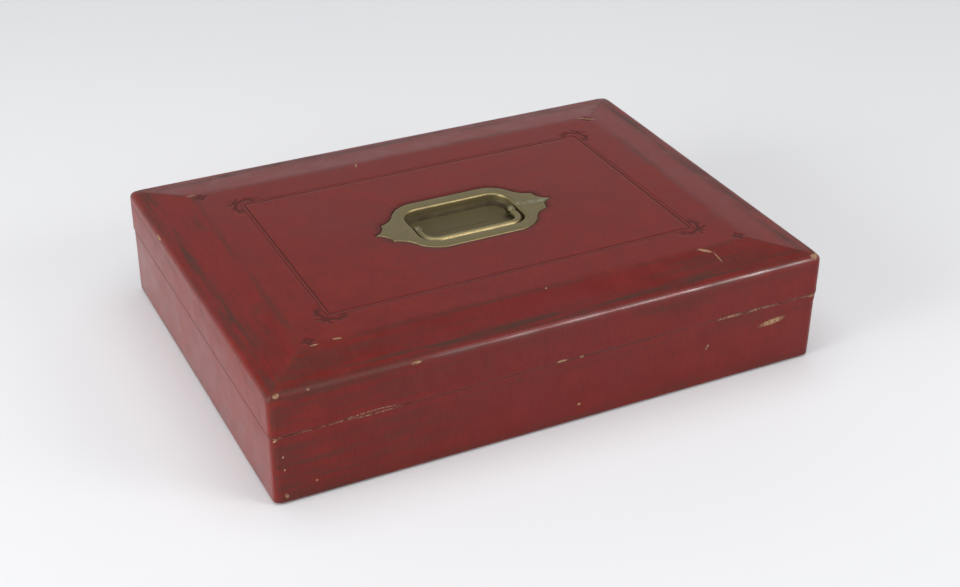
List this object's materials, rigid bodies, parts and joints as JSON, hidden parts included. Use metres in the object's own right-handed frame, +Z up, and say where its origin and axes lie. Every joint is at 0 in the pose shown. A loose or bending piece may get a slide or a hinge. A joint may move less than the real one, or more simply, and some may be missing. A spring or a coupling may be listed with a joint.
{
  "type": "leather jewellery case",
  "caption": "Flat leather-covered case with a hinged bevelled lid, a sunk brass bail handle, a lock and a lift-out ring tray.",
  "frame": {"origin": "centre of the closed case's footprint, on the surface it stands on", "axes": "+Z up, -Y towards the lock side, +Y towards the hinges, +X to the right seen from the lock side"},
  "size_m": [0.33, 0.244, 0.0705],
  "materials": {
    "red_leather": "satin, straight-grained, worn at the edges",
    "underside_leather": "matte",
    "velvet": "pile",
    "silk": "satin weave",
    "case_wood": "oiled",
    "worn_brass": "tarnished, rubbed bright on the bail",
    "fitting_brass": "satin"
  },
  "bodies": {
    "base": {"base_front_board": "case_wood", "base_back_board": "case_wood", "base_left_board": "case_wood", "base_right_board": "case_wood", "base_bottom_board": "case_wood", "base_leather": "red_leather", "underside_cover": "underside_leather", "base_lining": "velvet", "floor_pad": "velvet", "tray_rests": "velvet", "well_long_divider": "velvet", "well_cross_dividers": "velvet", "lock_case": "fitting_brass", "lock_cap": "fitting_brass", "escutcheon": "worn_brass", "lock_screws": "fitting_brass", "hinge_base_leaf_left": "fitting_brass", "hinge_base_leaf_right": "fitting_brass", "hinge_pins": "fitting_brass", "hinge_base_screws": "fitting_brass", "spine_leather": "red_leather"},
    "lid": {"lid_front_rail": "case_wood", "lid_back_rail": "case_wood", "lid_left_rail": "case_wood", "lid_right_rail": "case_wood", "lid_top_board": "case_wood", "lid_leather": "red_leather", "lid_lining": "velvet", "lid_pad": "silk", "hinge_lid_leaf_left": "fitting_brass", "hinge_lid_leaf_right": "fitting_brass", "hinge_lid_screws": "fitting_brass", "link_plate": "fitting_brass", "link_screws": "fitting_brass", "handle_plate": "worn_brass", "handle_studs": "fitting_brass", "handle_nuts": "fitting_brass", "bail_pins": "fitting_brass"},
    "bail": {"handle_bail": "worn_brass"},
    "tray": {"tray_frame": "velvet", "tray_bottom": "case_wood", "tray_long_divider": "velvet", "tray_ring_dividers": "velvet", "tray_cross_dividers": "velvet", "tray_pad_front": "velvet", "tray_pad_left_front": "velvet", "tray_pad_left_back": "velvet", "tray_pad_right_front": "velvet", "tray_pad_right_back": "velvet", "tray_pad_centre": "velvet", "ring_roll_1": "velvet", "ring_roll_2": "velvet", "ring_roll_3": "velvet", "ring_roll_4": "velvet", "ring_roll_5": "velvet", "ring_roll_6": "velvet", "tray_tab_left": "silk", "tray_tab_right": "silk"},
    "key_barrel": {"lock_barrel": "fitting_brass"},
    "lock_bolt": {"lock_bolt": "fitting_brass"}
  },
  "joints": [
    {"name": "lid_hinge", "type": "hinge", "parent": "base", "child": "lid", "pos_m": [0, 0.1189, 0.042], "axis": [-1, 0, 0], "range_deg": [0, 100], "deforming": ["spine_leather"]},
    {"name": "bail_swing", "type": "hinge", "parent": "lid", "child": "bail", "pos_m": [0, 0, 0.0679], "axis": [1, 0, 0], "range_deg": [0, 180]},
    {"name": "tray_lift", "type": "slide", "parent": "base", "child": "tray", "axis": [0, 0, 1], "range_m": [0, 0.01]},
    {"name": "key_turn", "type": "hinge", "parent": "base", "child": "key_barrel", "pos_m": [0, -0.11625, 0.024], "axis": [0, 1, 0], "range_deg": [0, 90]},
    {"name": "bolt_slide", "type": "slide", "parent": "base", "child": "lock_bolt", "axis": [1, 0, 0], "range_m": [0, 0.00551]}
  ],
  "couplings": [
    {"joint": "key_turn", "follows": "bolt_slide", "rad_per_m": 284.82}
  ]
}
